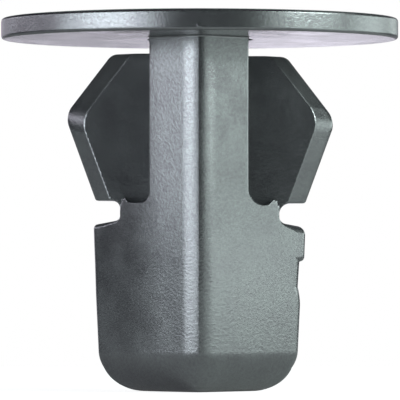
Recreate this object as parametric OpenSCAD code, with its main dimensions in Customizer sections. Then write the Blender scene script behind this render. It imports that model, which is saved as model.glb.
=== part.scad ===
// Push-in screw grommet (nut clip), moulded in one piece.
// It stands on its flat tip: Z up, flange on top, origin at the middle of the tip's face.
// X runs from wing to wing and Y from one corner column to the other.
// The shank is a square set corner-on, so its four faces lie at 45 degrees to X and Y.

/* [Flange] */
// Diameter of the round flange
flange_d = 20; // [16:0.5:26]
// Thickness of the flange
flange_t = 1.05; // [0.8:0.05:1.6]
// Rounding of the rim's two edges
rim_r = 0.25; // [0.1:0.05:0.35]

/* [Shank] */
// Height of the flange's underside above the tip
shank_len = 17.7; // [16:0.1:22]
// Width of the square shank across its flats
shank_w = 7.9; // [7.4:0.1:9]
// Rounding of the front and back corners
front_corner_r = 1.1; // [0.6:0.1:1.4]
// How far the wing-side corners are blunted
side_blunt = 0.2; // [0.1:0.05:0.4]
// How much each face of the lower body leans in on its way down to the tip
draft = 0.3; // [0.1:0.05:0.4]
// How far the tip's rounded edges reach in from each face
tip_inset = 1.65; // [0.8:0.05:1.7]
// Height at which the tip's rounding starts
tip_h = 2.15; // [1:0.05:3]

/* [Notch and lobes] */
// Height of the shoulder, the notch's floor
shoulder_z = 8.45; // [7.4:0.05:8.7]
// Height of the notch between the shoulder and a wing's foot
notch_h = 1.1; // [1:0.05:1.5]
// Depth of the notch from the sharp corner of the shank
notch_depth = 1.6; // [1:0.05:1.75]
// Rounding inside the notch
notch_r = 0.45; // [0.2:0.05:0.48]
// How far the lobe beside a column is cut below a wing's foot
lobe_drop = 0.1; // [0:0.05:0.4]
// Rounding at the bottom of the lobe
lobe_r = 0.4; // [0.2:0.02:0.5]

/* [Columns] */
// Width of the corner columns that carry the flange
column_w = 4.85; // [4.2:0.05:5.2]
// Clear gap between a column's inner face and a wing
column_gap = 0.6; // [0.4:0.05:0.8]

/* [Wings] */
// Thickness of the wings
wing_t = 2.25; // [1.8:0.05:2.6]
// How far a wing's ridge stands out past the sharp corner of the shank
wing_reach = 1.45; // [0.8:0.05:1.8]
// Distance from the flange's underside to the wing's widest point
grip_len = 3.85; // [3.2:0.05:5]
// Gap between the flange's underside and the top of a wing
wing_gap = 0.75; // [0.5:0.05:1.2]
// How far the ridge's top end lies inside the sharp corner of the shank
wing_top_in = 0.95; // [0.3:0.05:1.2]
// How far the ridge's foot lies inside the sharp corner of the shank
wing_foot_in = 0.1; // [0:0.02:0.3]
// Rounding of the wing's widest point
wing_tip_r = 0.8; // [0.3:0.1:1]
// Rounding of the wing's top corner
wing_top_r = 0.35; // [0.1:0.05:0.6]

/* [Screw way] */
// Diameter of the hole that the screw cuts its thread in
bore_d = 3.9; // [3:0.1:4.2]
// Diameter of the hole through the flange
entry_d = 5.2; // [4.6:0.1:6]
// Chamfer at the mouth of the flange's hole
entry_chamfer = 0.3; // [0.1:0.05:0.4]
// Height of the funnel that leads the screw from the flange to the bore
funnel_h = 1.2; // [0.6:0.1:2]

/* [Gate mark] */
// Height of the gate recess's lower edge
gate_z = 4.9; // [3.4:0.1:5.4]
// Height of the gate recess
gate_h = 1.7; // [1:0.1:2]
// Depth of the gate recess from the blunted corner
gate_depth = 0.4; // [0.2:0.05:0.6]

/* [Hidden] */
$fn = 64;

eps = 0.01;
root2 = sqrt(2);
shank_hw = shank_w / 2;
corner = shank_hw * root2;
foot_z = shoulder_z + notch_h;
lobe_z = foot_z - lobe_drop;
peak_z = lobe_z + lobe_r;
neck_hw = corner - notch_depth;
column_hw = column_w / 2;
wing_hw = wing_t / 2;
column_in = wing_hw + column_gap;
wing_top_z = shank_len - wing_gap;
wing_tip_z = shank_len - grip_len;
bore_r = bore_d / 2;
entry_r = entry_d / 2;
wing_in = sqrt(max(bore_r * bore_r - wing_hw * wing_hw, 0.25));
span = 2 * corner + 4 * wing_reach;
arc_steps = 6;

// Points of an elliptical arc about a centre, from angle a0 to a1
function arc(centre, rx, ry, a0, a1) =
    [for (i = [0:arc_steps])
        let (a = a0 + (a1 - a0) * i / arc_steps) centre + [rx * cos(a), ry * sin(a)]];

function unit(p) = p / norm(p);

// Points that round the corner at b, between a and c, with radius r
function rounded(a, b, c, r) =
    let (
        u = unit(a - b),
        v = unit(c - b),
        half = acos(u * v) / 2,
        middle = b + unit(u + v) * r / sin(half),
        start = b + u * r / tan(half) - middle,
        end = b + v * r / tan(half) - middle
    )
    [for (i = [0:arc_steps])
        let (t = i / arc_steps) middle + r * unit(start * (1 - t) + end * t)];

// Outline made of points on its right side and their mirror images on its left
module both_sides(points) {
    mirrored = [for (i = [len(points) - 1:-1:0]) [-points[i][0], points[i][1]]];
    polygon(concat(points, mirrored));
}

// Stands an outline drawn in width and height upright and runs it across at an angle about Z
module upright(angle, depth = span) {
    rotate([0, 0, angle]) rotate([90, 0, 0])
        linear_extrude(height = depth, center = true) children();
}

// Outline of one pair of shank faces, with the draft and the rounded edges of the tip
module face_outline(top) {
    tip_hw = shank_hw - draft * (1 - tip_h / shoulder_z);
    both_sides(concat(
        arc([tip_hw - tip_inset, tip_h], tip_inset, tip_h, -90, 0),
        [[shank_hw, shoulder_z], [shank_hw, top]]
    ));
}

// Plan that rounds the front and back corners and blunts the side corners
module corner_plan() {
    arc_y = corner - front_corner_r * root2;
    tangent_y = corner - front_corner_r * root2 / 2;
    square([2 * (corner - side_blunt), 2 * tangent_y], center = true);
    for (side = [-1, 1]) translate([0, side * arc_y]) circle(r = front_corner_r);
}

// The square shank from its tip up to a height
module shank(top) {
    intersection() {
        upright(45) face_outline(top);
        upright(-45) face_outline(top);
        linear_extrude(height = top) corner_plan();
    }
}

module flange() {
    ring_r = flange_d / 2 - rim_r;
    translate([0, 0, shank_len]) rotate_extrude() {
        square([ring_r, flange_t]);
        translate([0, rim_r]) square([flange_d / 2, flange_t - 2 * rim_r]);
        for (z = [rim_r, flange_t - rim_r]) translate([ring_r, z]) circle(r = rim_r);
    }
}

// The lower body, the shoulders under the notches, the neck and the floors of the four lobes
module lower_body() {
    intersection() {
        shank(peak_z);
        upright(0) both_sides(concat(
            [[span, 0], [span, shoulder_z]],
            arc([neck_hw + notch_r, shoulder_z + notch_r], notch_r, notch_r, -90, -180),
            arc([neck_hw - lobe_r, peak_z], lobe_r, lobe_r, 0, -90),
            arc([column_hw + lobe_r, peak_z], lobe_r, lobe_r, -90, -180)
        ));
    }
}

// The two corner columns between the lower body and the flange
module columns() {
    intersection() {
        shank(shank_len + flange_t / 2);
        for (side = [0, 1]) mirror([0, side, 0])
            translate([-column_hw, column_in, shoulder_z]) cube([column_w, span, shank_len]);
    }
}

// Outline of a wing and its root, as far out as the ridge
module wing_outline() {
    root = [neck_hw, shoulder_z];
    foot = [corner - wing_foot_in, foot_z];
    tip = [corner + wing_reach, wing_tip_z];
    top = [corner - wing_top_in, wing_top_z];
    polygon(concat(
        [[0, shoulder_z], root],
        arc([neck_hw + notch_r, foot_z - notch_r], notch_r, notch_r, 180, 90),
        [foot],
        rounded(foot, tip, top, wing_tip_r),
        rounded(tip, top, [0, wing_top_z], wing_top_r),
        [[0, wing_top_z]]
    ));
}

// One wing: a plate on the wing plane whose outer edge is a blunt ridge with 45 degree flanks
module wing() {
    intersection() {
        translate([wing_in, -wing_hw, 0]) cube([span, wing_t, shank_len]);
        upright(45) scale([1 / root2, 1]) wing_outline();
        upright(-45) scale([1 / root2, 1]) wing_outline();
        upright(0) translate([-side_blunt, 0]) wing_outline();
    }
}

// Bore for the screw, the hole through the flange and the funnel between them
module screw_way() {
    top = shank_len + flange_t;
    translate([0, 0, -eps]) cylinder(r = bore_r, h = top);
    translate([0, 0, shank_len - eps]) cylinder(r = entry_r, h = flange_t + 2 * eps);
    translate([0, 0, shank_len - funnel_h]) cylinder(r1 = bore_r, r2 = entry_r, h = funnel_h);
    translate([0, 0, top - entry_chamfer])
        cylinder(r1 = entry_r, r2 = entry_r + entry_chamfer + eps, h = entry_chamfer + eps);
}

// Shallow recess on one side corner, where the part was cut from its runner
module gate_recess() {
    floor_x = corner - side_blunt - gate_depth;
    translate([floor_x, -span / 2, gate_z]) cube([span, span, gate_h]);
}

module nut_clip() {
    color("dimgray") difference() {
        union() {
            flange();
            columns();
            lower_body();
            for (side = [0, 1]) mirror([side, 0, 0]) wing();
        }
        screw_way();
        gate_recess();
    }
}

nut_clip();
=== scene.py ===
"""Looks of the nut clip: a one-piece moulded screw grommet of grey nylon, and its studio."""
import math

import bpy
import numpy as np
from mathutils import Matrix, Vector


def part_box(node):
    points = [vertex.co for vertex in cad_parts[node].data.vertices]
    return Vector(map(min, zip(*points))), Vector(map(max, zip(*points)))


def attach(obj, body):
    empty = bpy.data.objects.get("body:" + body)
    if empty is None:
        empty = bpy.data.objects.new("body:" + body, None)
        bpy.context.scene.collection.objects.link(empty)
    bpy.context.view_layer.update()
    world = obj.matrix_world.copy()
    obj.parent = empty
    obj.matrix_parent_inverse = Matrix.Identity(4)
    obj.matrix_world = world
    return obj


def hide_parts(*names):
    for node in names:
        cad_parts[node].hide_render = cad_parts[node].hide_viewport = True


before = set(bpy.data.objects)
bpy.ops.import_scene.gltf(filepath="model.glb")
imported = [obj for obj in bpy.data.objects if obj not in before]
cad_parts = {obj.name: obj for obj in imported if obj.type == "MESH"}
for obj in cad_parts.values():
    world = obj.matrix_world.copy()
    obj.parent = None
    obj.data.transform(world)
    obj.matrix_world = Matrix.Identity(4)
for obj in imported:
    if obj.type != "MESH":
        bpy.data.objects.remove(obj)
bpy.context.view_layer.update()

MM = 0.001

# Sizes of the clip in millimetres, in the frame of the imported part. Where a size has two
# values, they are for the left and the right side.
NODE_LOW, NODE_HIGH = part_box("nut_clip")
FLANGE_R = (NODE_HIGH[0] - NODE_LOW[0]) / 2 / MM
FLANGE_T = 1.05
RIM_R = 0.16
TOP_Z = NODE_HIGH[2] / MM
SHANK_LEN = TOP_Z - FLANGE_T
SHANK_HW = 3.95
CORNER = SHANK_HW * math.sqrt(2)
DRAFT = 0.3
TIP_INSET = 1.95
TIP_H = 2.1
SHOULDER_Z = 8.45
SHOULDER_X = 4.85
SHOULDER_SLOPE = 0.17
FOOT_Z = 9.58
LOBE_Z = 9.47
LOBE_X = 3.68
LOBE_INNER_R = [0.45, 0.8]
LOBE_OUTER_R = [0.3, 0.42]
PEAK_X = 3.87
PEAK_Z = 9.77
NECK_HW = CORNER - 1.6
NOTCH_TOP_R = [0.42, 0.58]
NOTCH_FLOOR_R = [0.2, 0.3]
COLUMN_LEFT = 2.5
COLUMN_RIGHT = 2.43
WING_HW = 1.125
WING_ROOT_H = 1.0
COLUMN_IN = WING_HW + 0.6
WING_FOOT_X = [CORNER - 0.1, CORNER - 0.045]
WING_TIP_X = [CORNER + 1.45, CORNER + 1.495]
WING_TOP_X = CORNER - 0.95
WING_TIP_Z = [SHANK_LEN - 3.87, SHANK_LEN - 3.93]
WING_TOP_Z = SHANK_LEN - 0.74
BORE_R = 1.95
ENTRY_R = 2.6
ENTRY_CHAMFER = 0.3
FUNNEL_H = 1.2
GATE_Z = 4.83
GATE_H = 1.7
GATE_X = CORNER - 0.57
GATE_RAMP_X = GATE_X + 0.07
# How far the recess's floor leans in for each millimetre down, and the steepness of its lower end
GATE_LEAN = 0.06
GATE_RAMP = 2.7
# How much lower the notch, the lobes and the wing sit on the gate's side
GATE_SIDE_DROP = 0.13
# How far the sides of a wing's ridge fall back for each millimetre across, below and above its tip
LOWER_SPREAD = [0.82, 0.97]
UPPER_SPREAD = [1.09, 0.87]

# Roundings of the moulded edges in millimetres. The side corners have one rounding below the
# gate recess and another above it.
FRONT_CORNER_R = 1.55
PARTING_PEAK = 0.29
LEFT_CORNER_R = [0.5, 0.57]
RIGHT_CORNER_R = [0.82, 0.57]
SHOULDER_R = [0.2, 0.4]
FRONT_EDGE_R = 0.04
EDGE_R = 0.1
PEAK_R = 0.45
PEAK_TIP_R = 0.2
RIDGE_R = 0.5
WING_TIP_R = 0.5
WING_TOP_R = 0.22
FLANK_R = 0.03
GATE_LIP_R = 0.22
FLANGE_FILLET = 0.1
# Height above which the corners have their whole rounding, and the share that is left at the tip
FULL_CORNER_Z = 1.2
TIP_CORNER_SHARE = 0.02
# Width of the zone in which the front corner's rounding gives way to the side corners'
CORNER_BLEND = 2.4

# Part of the lower body's height over which the draft sets in
DRAFT_EASE = 0.25
# How far each left and right face of the shank would stand out at a sharp bend halfway across
# it. Then the half width over which the bend is softened and the place where the face stops
# falling back, both as parts of the face's half width.
FACE_BOW = [0.275, 0.12]
BEND_HW = 0.35
BEND_END = 1.2
# Specks of flash: place across and in height, width and height of each
PARTING_DOTS = [(-0.03, 17.93, 0.1, 0.035), (-0.2, 0.42, 0.09, 0.06)]

# Turn of the surface from a vertex to a face's inside at which an edge counts as sharp, and how
# far from the vertex to the face's middle that is looked at
SHARP_TURN = math.radians(22)
ASIDE = 0.3

# Least slope of the tip's ellipse that is divided by
NEARLY_FLAT = 1e-4

# Cell of the grid that the surface is drawn on, in millimetres, the layers of the grid that are
# worked out together, and the triangles kept after thinning
CELL = 0.09
LAYERS = 12
TRIANGLES = 190000
CELL_CORNERS = [(i, j, k) for i in (0, 1) for j in (0, 1) for k in (0, 1)]

# The nylon: its two greys, its gloss, and how many blotches and grains go to a metre. The
# metallic share and the grain's depth in metres give it the photo's strong satin gleam.
GREY_DARK = (0.226, 0.224, 0.233, 1)
GREY_LIGHT = (0.3, 0.312, 0.312, 1)
ROUGHNESS = [0.21, 0.27]
METALLIC = 0.8
BLOTCHES = 700.0
GRAINS = 7500.0
GRAIN_DEPTH = 0.000017

# The floor's paint and its glow to the camera. Then how far out from the middle, in metres, the
# clip sees the floor and the backdrop change, their levels at even steps from left to right (on
# the floor from back left to front right), and the world's level.
FLOOR_PAINT = (0.8, 0.8, 0.8, 1)
FLOOR_GLOW = 0.85
STAGE_SPAN = 0.04
FLOOR_LEVELS = (0.0, 0.07)
BACKDROP_LEVELS = (0.1, 0.15, 0.4, 0.95, 0.2)
WORLD_LEVEL = 0.02
WHITE = (1, 1, 1, 1)

# Tints of the light, which are slight
BLUISH = (0.93, 1.0, 1.07)
GREENISH = (0.92, 1.05, 1.02)
LILAC = (0.99, 0.95, 1.08)
CYAN = (0.75, 1.02, 1.2)

# Height that the lamps face and their distances from it, in metres
AIM_Z = 0.01
LAMP_DISTANCE = 0.18
LOW_LAMP_DISTANCE = 0.05

# Where the photo's 400 pixel frame lies, seen from its camera
PHOTO_W = 400
PIXELS_PER_MM = 19.86
CAMERA_ELEVATION = -0.864
CAMERA_DISTANCE = 0.24
CENTRE_X_PX = 199.65
TIP_Y_PX = 391.1


def round_max(a, b, r):
    """Intersection of two distance fields, with its edge rounded."""
    inner = np.minimum(np.maximum(a, b), -r)
    return inner + np.hypot(np.maximum(r + a, 0), np.maximum(r + b, 0))


def round_min(a, b, r):
    """Union of two distance fields, with a fillet where they meet."""
    outer = np.maximum(np.minimum(a, b), r)
    return outer - np.hypot(np.maximum(r - a, 0), np.maximum(r - b, 0))


def lean(z):
    """How far a face of the lower body leans in at a height; the lean starts gradually."""
    t = 1 - z / SHOULDER_Z
    eased = np.maximum(t + DRAFT_EASE, 0) ** 2 / 4 / DRAFT_EASE
    return DRAFT * np.where(t > DRAFT_EASE, t, eased)


def face_pair(w, t, z):
    """Two opposite faces of the shank, with the draft and the elliptical edges of the tip.
    w runs across the pair and t along the faces. Each face has a soft bend halfway across."""
    across = np.minimum(np.abs(t) / SHANK_HW, BEND_END)
    bend = np.where(across > BEND_HW, across, (across ** 2 + BEND_HW ** 2) / (2 * BEND_HW))
    w = np.abs(w) - np.where(w < 0, *FACE_BOW) * (1 - bend)
    side = w - SHANK_HW + lean(z)
    tip_hw = SHANK_HW - lean(TIP_H)
    out = np.maximum(w - (tip_hw - TIP_INSET), 0)
    down = np.maximum(TIP_H - z, 0)
    share = np.hypot(out / TIP_INSET, down / TIP_H)
    steep = np.maximum(np.hypot(out / TIP_INSET ** 2, down / TIP_H ** 2), NEARLY_FLAT)
    return np.where(z < TIP_H, share * (share - 1) / steep, side)


def shank(x, y, z):
    """The corner-on square shank. Its front and back corners are round, with a low ridge
    at the parting line where the two halves of the mould met."""
    u, v = (x + y) / math.sqrt(2), (x - y) / math.sqrt(2)
    one, two = face_pair(u, v, z), face_pair(v, u, z)
    full = np.clip(z / FULL_CORNER_Z, TIP_CORNER_SHARE, 1)
    own, other = np.where(x * y > 0, one, two), np.where(x * y > 0, two, one)
    beyond = other - PARTING_PEAK * math.sqrt(2) * full
    ends = round_max(own, beyond, FRONT_CORNER_R * full)
    gate = [GATE_Z, GATE_Z + GATE_H]
    left_r, right_r = np.interp(z, gate, LEFT_CORNER_R), np.interp(z, gate, RIGHT_CORNER_R)
    sides = round_max(one, two, np.where(x < 0, left_r, right_r) * full)
    share = np.clip(0.5 + (np.abs(y) - np.abs(x)) / CORNER_BLEND, 0, 1)
    return sides + (ends - sides) * share


def front_profile(x, z):
    """Front view of the layers in front of the wings and behind them: shoulders, neck,
    lobes and columns."""
    z = z + np.where(x > 0, GATE_SIDE_DROP, 0)
    column = np.maximum(x - COLUMN_RIGHT, -x - COLUMN_LEFT)
    floor_r = np.where(x < 0, *NOTCH_FLOOR_R)
    inner_r, outer_r = np.where(x < 0, *LOBE_INNER_R), np.where(x < 0, *LOBE_OUTER_R)
    x = np.abs(x)
    below = z - SHOULDER_Z + SHOULDER_SLOPE * (x - SHOULDER_X)
    slant = (z - PEAK_Z + x - PEAK_X) / math.sqrt(2)
    neck = round_max(x - NECK_HW, slant, PEAK_R)
    inner = round_max(-column, LOBE_Z - z, inner_r)
    outer = round_max(x - LOBE_X, LOBE_Z - z, outer_r)
    lobe = np.maximum(inner, outer)
    profile = round_max(round_min(below, neck, floor_r), -lobe, PEAK_TIP_R)
    return np.minimum(profile, column)


def body(x, y, z):
    """The lower body with its neck and lobes, and the two columns that stand on it."""
    shoulder_r = np.where(x < 0, *SHOULDER_R)
    outward = np.clip((np.abs(x) - NECK_HW) / (SHOULDER_X - NECK_HW), 0, 1)
    edge_r = FRONT_EDGE_R + (shoulder_r - FRONT_EDGE_R) * outward
    whole = round_max(shank(x, y, z), front_profile(x, z), edge_r)
    outer = round_max(whole, COLUMN_IN - np.abs(y), EDGE_R)
    outer = np.maximum(outer, z - SHANK_LEN - FLANGE_T / 2)
    lower = round_max(whole, z - PEAK_Z, FRONT_EDGE_R)
    return np.minimum(outer, lower)


def flank(x, y, z, low, high, spread):
    """One stretch of a wing's ridge, between two points of its outline. The spread is how far
    its sides fall back for each millimetre across."""
    slope = (high[0] - low[0]) / (high[1] - low[1])
    reach = low[0] + slope * (z - low[1]) + RIDGE_R * (np.sqrt(1 + spread ** 2) - math.sqrt(2))
    scale = np.sqrt(1 + spread ** 2 + slope ** 2)
    one, two = x - spread * y - reach, x + spread * y - reach
    return round_max(one / scale, two / scale, RIDGE_R)


def wings(x, y, z):
    """The two snap wings with their roots in the neck."""
    top_r = np.where(x < 0, *NOTCH_TOP_R)
    lower_spread = np.where(x < 0, *LOWER_SPREAD)
    upper_spread = np.where(x < 0, *UPPER_SPREAD)
    foot = (np.where(x < 0, *WING_FOOT_X), FOOT_Z)
    tip = (np.where(x < 0, *WING_TIP_X), np.where(x < 0, *WING_TIP_Z))
    z = z + np.where(x > 0, GATE_SIDE_DROP, 0)
    x = np.abs(x)
    lower = flank(x, y, z, foot, tip, lower_spread)
    upper = flank(x, y, z, tip, (WING_TOP_X, WING_TOP_Z), upper_spread)
    outline = round_max(round_max(lower, upper, WING_TIP_R), z - WING_TOP_Z, WING_TOP_R)
    block = round_max(outline, FOOT_Z - z, EDGE_R)
    root_ends = np.maximum(SHOULDER_Z - WING_ROOT_H - z, z - FOOT_Z - WING_ROOT_H)
    root = np.maximum(x - NECK_HW, root_ends)
    return round_max(round_min(block, root, top_r), np.abs(y) - WING_HW, FLANK_R)


def flange(radius, z):
    """The round flange and its rim."""
    return round_max(
        radius - FLANGE_R, np.abs(z - SHANK_LEN - FLANGE_T / 2) - FLANGE_T / 2, RIM_R
    )


def screw_way(radius, z):
    """The bore, the chamfered hole through the flange and the funnel between them."""
    funnel_slope = (ENTRY_R - BORE_R) / FUNNEL_H
    rise = np.clip(z - (SHANK_LEN - FUNNEL_H), 0, FUNNEL_H)
    flare = np.maximum(z - (TOP_Z - ENTRY_CHAMFER), 0)
    return radius - (BORE_R + funnel_slope * rise + flare)


def gate_recess(x, z):
    """The recess on the right corner, with a leaning floor and a sloping lower end."""
    over = z - GATE_Z - GATE_H
    ramp = (GATE_Z - z + GATE_RAMP * (GATE_RAMP_X - x)) / math.hypot(1, GATE_RAMP)
    return np.maximum(GATE_X + GATE_LEAN * over - x, np.maximum(over, ramp))


def parting_dots(x, y, z):
    """Height of two specks of flash on the front parting line."""
    total = 0
    for spot_x, spot_z, width, height in PARTING_DOTS:
        total = total + height * np.exp(-((x - spot_x) ** 2 + (z - spot_z) ** 2) / width ** 2)
    return np.where(y < 0, total, 0)


def clip(x, y, z):
    """Distance field of the whole clip, in millimetres."""
    radius = np.hypot(x, y)
    solid = round_min(body(x, y, z), flange(radius, z), FLANGE_FILLET)
    solid = np.minimum(solid, wings(x, y, z))
    solid = round_max(solid, -screw_way(radius, z), EDGE_R)
    return round_max(solid, -gate_recess(x, z), GATE_LIP_R) - parting_dots(x, y, z)


def gradient(points):
    """Direction in which the distance field grows at each point."""
    step = 0.01
    parts = []
    for axis in range(3):
        shift = np.zeros(3)
        shift[axis] = step
        ahead, behind = points + shift, points - shift
        parts.append((clip(*ahead.T) - clip(*behind.T)) / (2 * step))
    return np.stack(parts, axis=1)


def unit(vectors):
    """The same directions with a length of one."""
    return vectors / np.linalg.norm(vectors, axis=1, keepdims=True)


def face_normals(mesh, points):
    """Shading normal of each corner of each face. It is the surface's own at the vertex, or
    that of the face's side where the vertex lies on a sharp edge."""
    vertex = np.empty(len(mesh.loops), dtype=np.int32)
    mesh.loops.foreach_get("vertex_index", vertex)
    start = np.empty(len(mesh.polygons), dtype=np.int32)
    mesh.polygons.foreach_get("loop_start", start)
    size = np.diff(np.append(start, len(vertex)))
    middle = np.repeat(np.add.reduceat(points[vertex], start) / size[:, None], size, axis=0)
    smooth = unit(gradient(points))[vertex]
    aside = unit(gradient((1 - ASIDE) * points[vertex] + ASIDE * middle))
    sharp = (smooth * aside).sum(axis=1) < math.cos(SHARP_TURN)
    return np.where(sharp[:, None], aside, smooth)


def sampled(axes):
    """The distance field at each point of a grid."""
    field = np.empty([len(a) for a in axes], dtype=np.float32)
    x, y = axes[0][:, None, None], axes[1][None, :, None]
    for k in range(0, len(axes[2]), LAYERS):
        z = axes[2][None, None, k:k + LAYERS]
        field[:, :, k:k + LAYERS] = clip(*np.broadcast_arrays(x, y, z))
    return field


def crossed_cells(inside):
    """The grid's cells that have corners both inside and outside the clip."""
    cells = [n - 1 for n in inside.shape]
    count = np.zeros(cells, dtype=np.int8)
    for i, j, k in CELL_CORNERS:
        count += inside[i:i + cells[0], j:j + cells[1], k:k + cells[2]]
    return np.argwhere((count > 0) & (count < len(CELL_CORNERS)))


def cell_points(field, active):
    """Middle of the points where the surface crosses the edges of each cell, in cells."""
    value = {c: field[tuple((active + c).T)] for c in CELL_CORNERS}
    total = np.zeros((len(active), 3))
    crossings = np.zeros(len(active))
    for a in CELL_CORNERS:
        for b in CELL_CORNERS:
            if sum(b) != sum(a) + 1 or any(q < p for p, q in zip(a, b)):
                continue
            crossed = (value[a] < 0) != (value[b] < 0)
            gap = np.where(crossed, value[a] - value[b], 1)
            t = np.where(crossed, value[a] / gap, 0)[:, None]
            total += np.where(crossed[:, None], np.array(a) + t * (np.array(b) - a), 0)
            crossings += crossed
    return active + total / crossings[:, None]


def cell_quads(inside, number):
    """A quad round each grid edge that leaves or enters the clip, facing outward."""
    quads = []
    for axis in range(3):
        u, v = (axis + 1) % 3, (axis + 2) % 3
        here = [slice(1, -1)] * 3
        here[axis] = slice(0, -1)
        after = list(here)
        after[axis] = slice(1, None)
        start, end = inside[tuple(here)], inside[tuple(after)]
        edge = np.argwhere(start != end)
        leaving = start[tuple(edge.T)]
        edge[:, u] += 1
        edge[:, v] += 1
        ring = []
        for du, dv in ((1, 1), (0, 1), (0, 0), (1, 0)):
            spot = edge.copy()
            spot[:, u] -= du
            spot[:, v] -= dv
            ring.append(number[tuple(spot.T)])
        quad = np.stack(ring, axis=1)
        quads.append(np.where(leaving[:, None], quad, quad[:, ::-1]))
    return np.concatenate(quads)


def surface(low, high, cell):
    """Vertices and quads of the clip's surface, one vertex in each grid cell it crosses."""
    axes = [np.arange(a - 2 * cell, b + 3 * cell, cell) for a, b in zip(low, high)]
    field = sampled(axes)
    inside = field < 0
    active = crossed_cells(inside)
    number = np.full([n - 1 for n in field.shape], -1, dtype=np.int32)
    number[tuple(active.T)] = np.arange(len(active))
    points = cell_points(field, active) * cell + [a[0] for a in axes]
    return points, cell_quads(inside, number)


def settle(points, rounds):
    """Moves points onto the surface, where the distance field is zero. A move is no longer
    than a part of a cell, also where the field is nearly flat."""
    flattest, longest = 0.05, 0.4 * CELL
    for _ in range(rounds):
        slope = gradient(points)
        steep = np.maximum((slope ** 2).sum(axis=1), flattest)
        move = -slope * (clip(*points.T) / steep)[:, None]
        length = np.linalg.norm(move, axis=1, keepdims=True)
        points = points + move * np.minimum(1, longest / np.maximum(length, 1e-9))
    return points


def thinned(piece, triangles):
    """The piece's mesh with the flat parts drawn in fewer, larger triangles."""
    modifier = piece.modifiers.new("thin", "DECIMATE")
    modifier.ratio = triangles / (2 * len(piece.data.polygons))
    seen = piece.evaluated_get(bpy.context.evaluated_depsgraph_get())
    mesh = bpy.data.meshes.new_from_object(seen)
    piece.modifiers.clear()
    return mesh


def build_clip():
    """The clip as one closed mesh, drawn on the distance field's surface."""
    low = [c / MM for c in NODE_LOW]
    high = [c / MM for c in NODE_HIGH]
    points, quads = surface(low, high, CELL)
    mesh = bpy.data.meshes.new("nut_clip_looks")
    mesh.from_pydata(settle(points, rounds=4).tolist(), [], quads.tolist())
    piece = bpy.data.objects.new("nut_clip_looks", mesh)
    bpy.context.scene.collection.objects.link(piece)

    mesh = thinned(piece, TRIANGLES)
    piece.data = mesh
    points = np.empty(3 * len(mesh.vertices))
    mesh.vertices.foreach_get("co", points)
    points = np.clip(settle(points.reshape(-1, 3), rounds=2), low, high)
    mesh.vertices.foreach_set("co", (points * MM).ravel())
    mesh.polygons.foreach_set("use_smooth", [True] * len(mesh.polygons))
    mesh.update()
    mesh.normals_split_custom_set(face_normals(mesh, points).tolist())
    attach(piece, "root")
    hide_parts("nut_clip")
    return piece


class Nodes:
    """Short calls for building a node tree."""

    def __init__(self, owner):
        owner.use_nodes = True
        self.tree = owner.node_tree
        self.tree.nodes.clear()

    def add(self, kind, inputs=(), **settings):
        node = self.tree.nodes.new(kind)
        for name, value in settings.items():
            setattr(node, name, value)
        for key, value in dict(inputs).items():
            if isinstance(value, bpy.types.NodeSocket):
                self.tree.links.new(value, node.inputs[key])
            else:
                node.inputs[key].default_value = value
        return node

    def math(self, operation, a, b):
        return self.add("ShaderNodeMath", {0: a, 1: b}, operation=operation).outputs[0]

    def along(self, direction, levels):
        """Level that changes in even steps over a stage piece, along a direction."""
        where = self.add("ShaderNodeTexCoord").outputs["Object"]
        reach = self.add("ShaderNodeVectorMath", {0: where, 1: direction}, operation="DOT_PRODUCT")
        place = self.add("ShaderNodeMapRange", {
            "Value": reach.outputs["Value"], "From Min": -STAGE_SPAN, "From Max": STAGE_SPAN
        }).outputs["Result"]
        ramp = self.add("ShaderNodeValToRGB", {"Fac": place})
        stops = ramp.color_ramp.elements
        for i, level in enumerate(levels):
            if 0 < i < len(levels) - 1:
                stops.new(i / (len(levels) - 1))
            stops[i].color = (level, level, level, 1)
        return ramp.outputs["Color"]


def nylon():
    """Grey moulded nylon: a fine satin grain with slow changes of tone and gloss."""
    material = bpy.data.materials.new("grey_nylon")
    n = Nodes(material)
    where = n.add("ShaderNodeTexCoord").outputs["Object"]
    cloud = n.add("ShaderNodeTexNoise", {"Vector": where, "Scale": BLOTCHES, "Detail": 3.0})
    speck = n.add("ShaderNodeTexNoise", {
        "Vector": where, "Scale": GRAINS, "Detail": 3.0, "Roughness": 0.65
    })
    tone = n.math("ADD", n.math("MULTIPLY", cloud.outputs["Fac"], 0.5), speck.outputs["Fac"])
    tone = n.math("MULTIPLY", tone, 1 / 1.5)
    colour = n.add("ShaderNodeValToRGB", {"Fac": tone})
    dark, light = colour.color_ramp.elements
    dark.position, dark.color = 0.36, GREY_DARK
    light.position, light.color = 0.64, GREY_LIGHT
    gloss = n.add("ShaderNodeMapRange", {
        "Value": cloud.outputs["Fac"], "From Min": 0.3, "From Max": 0.7,
        "To Min": ROUGHNESS[0], "To Max": ROUGHNESS[1],
    })
    bump = n.add("ShaderNodeBump", {
        "Strength": 0.6, "Distance": GRAIN_DEPTH, "Height": speck.outputs["Fac"]
    })
    shader = n.add("ShaderNodeBsdfPrincipled", {
        "Base Color": colour.outputs["Color"],
        "Metallic": METALLIC,
        "Roughness": gloss.outputs["Result"],
        "IOR": 1.5,
        "Normal": bump.outputs["Normal"],
    })
    n.add("ShaderNodeOutputMaterial", {"Surface": shader.outputs[0]})
    return material


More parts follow.
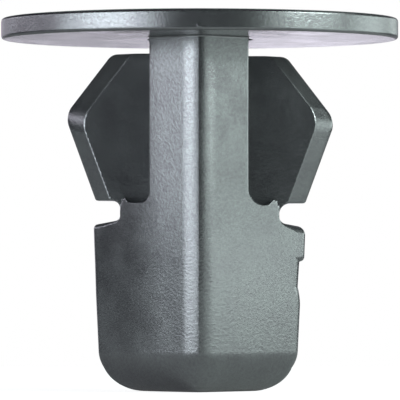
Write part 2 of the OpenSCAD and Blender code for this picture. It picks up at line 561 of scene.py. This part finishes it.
def floor_material():
    """Pale floor that keeps the clip's shadow and is otherwise as white as the backdrop."""
    material = bpy.data.materials.new("pale_floor")
    n = Nodes(material)
    paint = n.add("ShaderNodeBsdfDiffuse", {"Color": FLOOR_PAINT}).outputs[0]
    seen = n.add("ShaderNodeLightPath").outputs["Is Camera Ray"]
    level = n.along((0.7, -0.7, 0), FLOOR_LEVELS)
    strength = n.math("MAXIMUM", n.math("MULTIPLY", seen, FLOOR_GLOW), level)
    glow = n.add("ShaderNodeEmission", {"Color": WHITE, "Strength": strength}).outputs[0]
    both = n.add("ShaderNodeAddShader", {0: paint, 1: glow})
    n.add("ShaderNodeOutputMaterial", {"Surface": both.outputs[0]})
    return material


def backdrop_material():
    """White to the camera; what the clip mirrors of it is brightest right of its middle."""
    material = bpy.data.materials.new("white_backdrop")
    n = Nodes(material)
    seen = n.add("ShaderNodeLightPath").outputs["Is Camera Ray"]
    colour = n.add("ShaderNodeMixRGB", {0: seen, 1: (*LILAC, 1), 2: WHITE})
    level = n.along((1, 0, 0), BACKDROP_LEVELS)
    glow = n.add("ShaderNodeEmission", {
        "Color": colour.outputs[0], "Strength": n.math("MAXIMUM", seen, level)
    })
    n.add("ShaderNodeOutputMaterial", {"Surface": glow.outputs[0]})
    return material


def add_sheet(name, corners, material):
    """Flat four-sided stage piece: the floor or the backdrop."""
    mesh = bpy.data.meshes.new(name)
    mesh.from_pydata(corners, [], [(0, 1, 2, 3)])
    mesh.materials.append(material)
    sheet = bpy.data.objects.new(name, mesh)
    bpy.context.scene.collection.objects.link(sheet)


def build_stage():
    """The floor under the clip and the backdrop behind it, in metres."""
    half = 0.06
    add_sheet(
        "floor", [(-half, -half, 0), (half, -half, 0), (half, half, 0), (-half, half, 0)],
        floor_material(),
    )
    back, wide, low, high = 0.6, 0.3, -0.3, 0.4
    add_sheet(
        "backdrop", [(-wide, back, low), (wide, back, low), (wide, back, high), (-wide, back, high)],
        backdrop_material(),
    )


def build_world():
    """White studio: the camera sees it as plain white, and the clip is lit by it softly."""
    world = bpy.data.worlds.new("studio")
    bpy.context.scene.world = world
    n = Nodes(world)
    rays = n.add("ShaderNodeLightPath").outputs
    soft = n.add("ShaderNodeBackground", {"Color": (*CYAN, 1), "Strength": WORLD_LEVEL})
    white = n.add("ShaderNodeBackground", {"Color": WHITE, "Strength": 1.0})
    mix = n.add("ShaderNodeMixShader", {
        0: rays["Is Camera Ray"], 1: soft.outputs[0], 2: white.outputs[0]
    })
    n.add("ShaderNodeOutputWorld", {"Surface": mix.outputs[0]})


def add_light(name, azimuth, elevation, wide, high, level, tint, distance=LAMP_DISTANCE):
    """Soft box that faces the clip. All its angles are in degrees, seen from the clip.
    Azimuth 0 is on the camera's side, positive to its right, and the level is the brightness
    of its face, where 1 is white."""
    light = bpy.data.lights.new(name, "AREA")
    light.shape = "RECTANGLE"
    light.size = 2 * distance * math.tan(math.radians(wide / 2))
    light.size_y = 2 * distance * math.tan(math.radians(high / 2))
    light.energy = level * light.size * light.size_y * math.pi
    light.color = tint
    lamp = bpy.data.objects.new(name, light)
    a, e = math.radians(azimuth), math.radians(elevation)
    away = Vector((math.sin(a) * math.cos(e), -math.cos(a) * math.cos(e), math.sin(e)))
    lamp.location = Vector((0, 0, AIM_Z)) + away * distance
    lamp.rotation_euler = away.to_track_quat("Z", "Y").to_euler()
    bpy.context.scene.collection.objects.link(lamp)


def build_lights():
    """Lamps all round the clip, which give its faces the tones that they have in the photo."""
    add_light("front", 0, 5, 30, 8, 0.1, BLUISH)
    add_light("left", -75, 6, 15, 16, 2.6, BLUISH)
    add_light("key_left", -52, 8, 30, 8, 6.8, BLUISH)
    add_light("front_left", -30, 8, 15, 8, 3.0, BLUISH)
    add_light("middle_left", -45, 0, 45, 8, 1.2, BLUISH)
    add_light("low_left", -42, -8, 45, 6.5, 2.9, BLUISH, LOW_LAMP_DISTANCE)
    add_light("left_back", -112, 10, 60, 8, 1.5, LILAC)
    add_light("left_rear", -157, 4, 30, 16, 0.5, LILAC)
    add_light("key_right", 67, 18, 30, 12, 11.7, GREENISH)
    add_light("front_right", 45, 18, 15, 12, 1.5, GREENISH)
    add_light("right", 67, 0, 60, 24, 0.9, GREENISH)
    add_light("low_right", 75, -8, 40, 6.5, 1.0, GREENISH, LOW_LAMP_DISTANCE)
    add_light("right_back", 112, 3, 30, 14, 2.0, GREENISH)
    add_light("right_rear", 142, 8, 30, 8, 1.3, GREENISH)
    add_light("rear", 180, 0, 15, 8, 1.4, LILAC)
    add_light("top", 180, 60, 60, 40, 0.35, GREENISH)
    add_light("high_right", 90, 35, 28, 22, 0.8, GREENISH)


def build_camera():
    """The photo's camera, placed by where the clip's middle and tip lie in its frame."""
    camera = bpy.data.cameras.new("camera")
    camera.sensor_width = 36.0
    camera.lens = camera.sensor_width * (CAMERA_DISTANCE / MM) * PIXELS_PER_MM / PHOTO_W
    camera.clip_start, camera.clip_end = 0.01, 10.0
    view = bpy.data.objects.new("camera", camera)
    e = math.radians(CAMERA_ELEVATION)
    back = Vector((0, -math.cos(e), math.sin(e)))
    up = Vector((0, math.sin(e), math.cos(e)))
    middle = PHOTO_W / 2
    target = Vector((middle - CENTRE_X_PX, 0, 0)) * MM / PIXELS_PER_MM
    target += up * (TIP_Y_PX - middle) * MM / PIXELS_PER_MM
    view.location = target + back * CAMERA_DISTANCE
    view.rotation_euler = back.to_track_quat("Z", "Y").to_euler()
    bpy.context.scene.collection.objects.link(view)
    bpy.context.scene.camera = view


build_camera()
bpy.context.scene.view_settings.view_transform = "Standard"
looks = build_clip()
looks.data.materials.append(nylon())
build_stage()
build_world()
build_lights()
